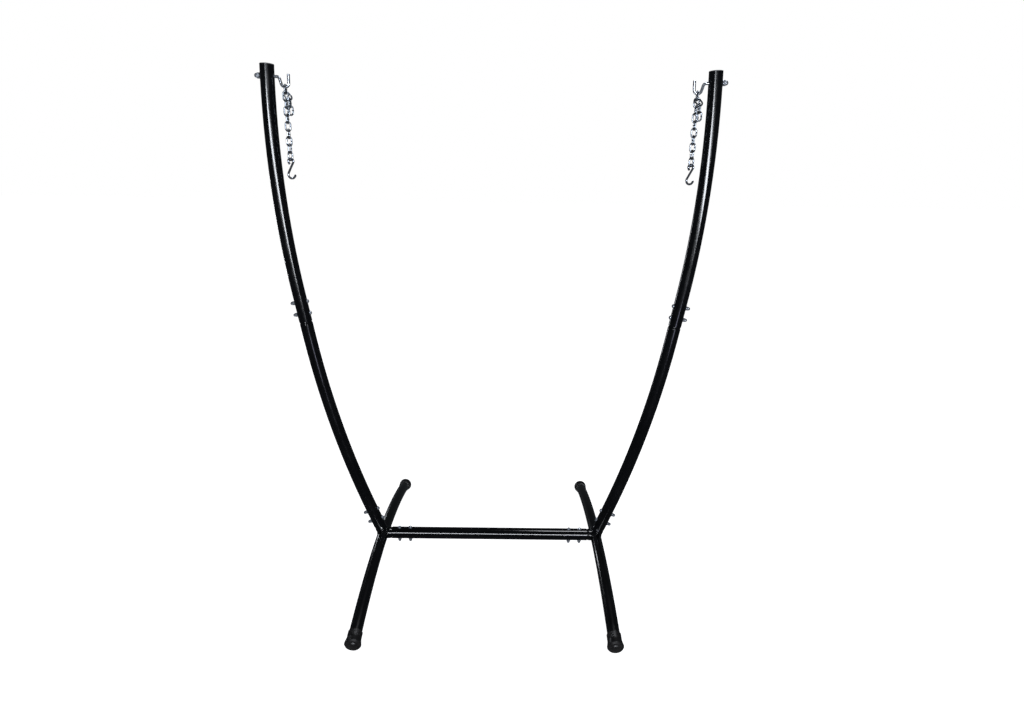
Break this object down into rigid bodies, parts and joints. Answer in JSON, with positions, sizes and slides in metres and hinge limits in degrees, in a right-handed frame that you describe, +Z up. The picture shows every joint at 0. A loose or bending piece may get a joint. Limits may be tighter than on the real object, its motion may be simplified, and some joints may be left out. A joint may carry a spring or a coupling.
{
  "type": "hammock stand",
  "caption": "Free-standing hammock stand with arched feet, a centre beam, tall curved arms, and a chain with an S-hook hung from a hook bolt at each arm top.",
  "frame": {"origin": "on the floor, midway between the two feet, under the middle of the centre beam", "axes": "+X from the left arm to the right arm, +Y to the back, +Z up"},
  "size_m": [1.622, 1.185, 1.9047],
  "materials": {
    "black_powder_coat": "gloss black powder coat",
    "black_rubber": "moulded, satin",
    "black_plastic": "moulded, satin",
    "zinc_hardware": "bright zinc plate",
    "zinc_chain": "bright zinc plate, slightly clouded"
  },
  "bodies": {
    "stand": {"arm_base_bolts": "zinc_hardware", "arm_base_cap_nuts": "zinc_hardware", "arm_base_washers": "zinc_hardware", "arm_end_cap_left": "black_plastic", "arm_end_cap_right": "black_plastic", "arm_socket_left": "black_powder_coat", "arm_socket_right": "black_powder_coat", "beam_joint_bolts": "zinc_hardware", "beam_joint_cap_nuts": "zinc_hardware", "beam_joint_washers": "zinc_hardware", "beam_socket_left": "black_powder_coat", "beam_socket_right": "black_powder_coat", "centre_beam": "black_powder_coat", "foot_cup_front_left": "black_rubber", "foot_cup_front_right": "black_rubber", "foot_cup_rear_left": "black_rubber", "foot_cup_rear_right": "black_rubber", "foot_tube_left": "black_powder_coat", "foot_tube_right": "black_powder_coat", "hanger_cap_nuts": "zinc_hardware", "hanger_hook_left": "zinc_hardware", "hanger_hook_right": "zinc_hardware", "hanger_washers": "zinc_hardware", "lower_arm_left": "black_powder_coat", "lower_arm_right": "black_powder_coat", "mid_arm_bolts": "zinc_hardware", "mid_arm_cap_nuts": "zinc_hardware", "mid_arm_washers": "zinc_hardware", "upper_arm_left": "black_powder_coat", "upper_arm_right": "black_powder_coat"},
    "chain_link_left_01": {"chain_link_left_01": "zinc_chain"},
    "chain_link_left_02": {"chain_link_left_02": "zinc_chain"},
    "chain_link_left_03": {"chain_link_left_03": "zinc_chain"},
    "chain_link_left_04": {"chain_link_left_04": "zinc_chain"},
    "chain_link_left_05": {"chain_link_left_05": "zinc_chain"},
    "chain_link_left_06": {"chain_link_left_06": "zinc_chain"},
    "chain_link_left_07": {"chain_link_left_07": "zinc_chain"},
    "chain_link_left_08": {"chain_link_left_08": "zinc_chain"},
    "chain_link_left_09": {"chain_link_left_09": "zinc_chain"},
    "chain_link_left_10": {"chain_link_left_10": "zinc_chain"},
    "s_hook_left": {"s_hook_left": "zinc_chain"},
    "spare_link_left_01": {"spare_link_left_01": "zinc_chain"},
    "spare_link_left_02": {"spare_link_left_02": "zinc_chain"},
    "spare_link_left_03": {"spare_link_left_03": "zinc_chain"},
    "chain_link_right_01": {"chain_link_right_01": "zinc_chain"},
    "chain_link_right_02": {"chain_link_right_02": "zinc_chain"},
    "chain_link_right_03": {"chain_link_right_03": "zinc_chain"},
    "chain_link_right_04": {"chain_link_right_04": "zinc_chain"},
    "chain_link_right_05": {"chain_link_right_05": "zinc_chain"},
    "chain_link_right_06": {"chain_link_right_06": "zinc_chain"},
    "chain_link_right_07": {"chain_link_right_07": "zinc_chain"},
    "chain_link_right_08": {"chain_link_right_08": "zinc_chain"},
    "chain_link_right_09": {"chain_link_right_09": "zinc_chain"},
    "chain_link_right_10": {"chain_link_right_10": "zinc_chain"},
    "s_hook_right": {"s_hook_right": "zinc_chain"},
    "spare_link_right_01": {"spare_link_right_01": "zinc_chain"},
    "spare_link_right_02": {"spare_link_right_02": "zinc_chain"},
    "spare_link_right_03": {"spare_link_right_03": "zinc_chain"}
  },
  "joints": [
    {"name": "hook_to_chain_left", "type": "hinge", "parent": "stand", "child": "chain_link_left_01", "pos_m": [-0.70879, 0, 1.84191], "axis": [0, -1, 0], "range_deg": [-3, 50]},
    {"name": "chain_left_02", "type": "hinge", "parent": "chain_link_left_01", "child": "chain_link_left_02", "pos_m": [-0.70879, -0.0029, 1.80612], "axis": [0, -1, 0], "range_deg": [-3, 15]},
    {"name": "chain_left_03", "type": "hinge", "parent": "chain_link_left_02", "child": "chain_link_left_03", "pos_m": [-0.70879, -0.0029, 1.78162], "axis": [1, 0, 0], "range_deg": [-40, 3.5]},
    {"name": "chain_left_04", "type": "hinge", "parent": "chain_link_left_03", "child": "chain_link_left_04", "pos_m": [-0.70879, -0.0029, 1.75712], "axis": [0, 1, 0], "range_deg": [-45, 3.5]},
    {"name": "chain_left_05", "type": "hinge", "parent": "chain_link_left_04", "child": "chain_link_left_05", "pos_m": [-0.70879, -0.0029, 1.73262], "axis": [-1, 0, 0], "range_deg": [-40, 40]},
    {"name": "chain_left_06", "type": "hinge", "parent": "chain_link_left_05", "child": "chain_link_left_06", "pos_m": [-0.70879, -0.0029, 1.70812], "axis": [0, -1, 0], "range_deg": [-4.5, 45]},
    {"name": "chain_left_07", "type": "hinge", "parent": "chain_link_left_06", "child": "chain_link_left_07", "pos_m": [-0.70879, -0.0029, 1.68362], "axis": [0.9994, -0.0349, 0], "range_deg": [-40, 40]},
    {"name": "chain_left_08", "type": "hinge", "parent": "chain_link_left_07", "child": "chain_link_left_08", "pos_m": [-0.70879, -0.0029, 1.65912], "axis": [0.1045, 0.9945, 0], "range_deg": [-45, 7]},
    {"name": "chain_left_09", "type": "hinge", "parent": "chain_link_left_08", "child": "chain_link_left_09", "pos_m": [-0.70879, -0.0029, 1.63462], "axis": [-0.9781, 0.2079, 0], "range_deg": [-40, 40]},
    {"name": "chain_left_10", "type": "hinge", "parent": "chain_link_left_09", "child": "chain_link_left_10", "pos_m": [-0.70879, -0.0029, 1.61012], "axis": [-0.4067, -0.9135, 0], "range_deg": [-11, 45]},
    {"name": "s_hook_swing_left", "type": "hinge", "parent": "chain_link_left_10", "child": "s_hook_left", "pos_m": [-0.70879, -0.0029, 1.58612], "axis": [-0.6691, 0.7431, 0], "range_deg": [-35, 35]},
    {"name": "spare_left_01", "type": "hinge", "parent": "chain_link_left_01", "child": "spare_link_left_01", "pos_m": [-0.70879, 0.00589, 1.80665], "axis": [0, -0.9397, -0.342], "range_deg": [-3, 15]},
    {"name": "spare_left_02", "type": "hinge", "parent": "spare_link_left_01", "child": "spare_link_left_02", "pos_m": [-0.70091, 0.01234, 1.786], "axis": [1, 0, 0], "range_deg": [0, 40]},
    {"name": "spare_left_03", "type": "hinge", "parent": "spare_link_left_02", "child": "spare_link_left_03", "pos_m": [-0.70091, 0.01234, 1.7615], "axis": [0, -1, 0], "range_deg": [-15, 40]},
    {"name": "hook_to_chain_right", "type": "hinge", "parent": "stand", "child": "chain_link_right_01", "pos_m": [0.70879, 0, 1.84191], "axis": [0, 1, 0], "range_deg": [-2.5, 50]},
    {"name": "chain_right_02", "type": "hinge", "parent": "chain_link_right_01", "child": "chain_link_right_02", "pos_m": [0.70879, 0.0029, 1.80612], "axis": [0, 1, 0], "range_deg": [-2.5, 22]},
    {"name": "chain_right_03", "type": "hinge", "parent": "chain_link_right_02", "child": "chain_link_right_03", "pos_m": [0.70879, 0.0029, 1.78162], "axis": [-1, 0, 0], "range_deg": [-40, 3.5]},
    {"name": "chain_right_04", "type": "hinge", "parent": "chain_link_right_03", "child": "chain_link_right_04", "pos_m": [0.70879, 0.0029, 1.75712], "axis": [0, -1, 0], "range_deg": [-45, 3]},
    {"name": "chain_right_05", "type": "hinge", "parent": "chain_link_right_04", "child": "chain_link_right_05", "pos_m": [0.70879, 0.0029, 1.73262], "axis": [-1, 0, 0], "range_deg": [-40, 40]},
    {"name": "chain_right_06", "type": "hinge", "parent": "chain_link_right_05", "child": "chain_link_right_06", "pos_m": [0.70879, 0.0029, 1.70812], "axis": [0, 1, 0], "range_deg": [-4, 45]},
    {"name": "chain_right_07", "type": "hinge", "parent": "chain_link_right_06", "child": "chain_link_right_07", "pos_m": [0.70879, 0.0029, 1.68362], "axis": [0.9994, 0.0349, 0], "range_deg": [-40, 40]},
    {"name": "chain_right_08", "type": "hinge", "parent": "chain_link_right_07", "child": "chain_link_right_08", "pos_m": [0.70879, 0.0029, 1.65912], "axis": [0.1045, -0.9945, 0], "range_deg": [-45, 7]},
    {"name": "chain_right_09", "type": "hinge", "parent": "chain_link_right_08", "child": "chain_link_right_09", "pos_m": [0.70879, 0.0029, 1.63462], "axis": [-0.9781, -0.2079, 0], "range_deg": [-40, 40]},
    {"name": "chain_right_10", "type": "hinge", "parent": "chain_link_right_09", "child": "chain_link_right_10", "pos_m": [0.70879, 0.0029, 1.61012], "axis": [-0.4067, 0.9135, 0], "range_deg": [-11, 45]},
    {"name": "s_hook_swing_right", "type": "hinge", "parent": "chain_link_right_10", "child": "s_hook_right", "pos_m": [0.70879, 0.0029, 1.58612], "axis": [-0.6691, -0.7431, 0], "range_deg": [-35, 35]},
    {"name": "spare_right_01", "type": "hinge", "parent": "chain_link_right_01", "child": "spare_link_right_01", "pos_m": [0.70879, -0.00589, 1.80665], "axis": [0, 0.9397, -0.342], "range_deg": [-2.5, 22]},
    {"name": "spare_right_02", "type": "hinge", "parent": "spare_link_right_01", "child": "spare_link_right_02", "pos_m": [0.71667, -0.01234, 1.786], "axis": [-1, 0, 0], "range_deg": [0, 40]},
    {"name": "spare_right_03", "type": "hinge", "parent": "spare_link_right_02", "child": "spare_link_right_03", "pos_m": [0.71667, -0.01234, 1.7615], "axis": [0, 1, 0], "range_deg": [-15, 40]}
  ],
  "couplings": [
    {"joint": "spare_left_01", "follows": "chain_left_02", "ratio": 1},
    {"joint": "spare_right_01", "follows": "chain_right_02", "ratio": 1}
  ]
}
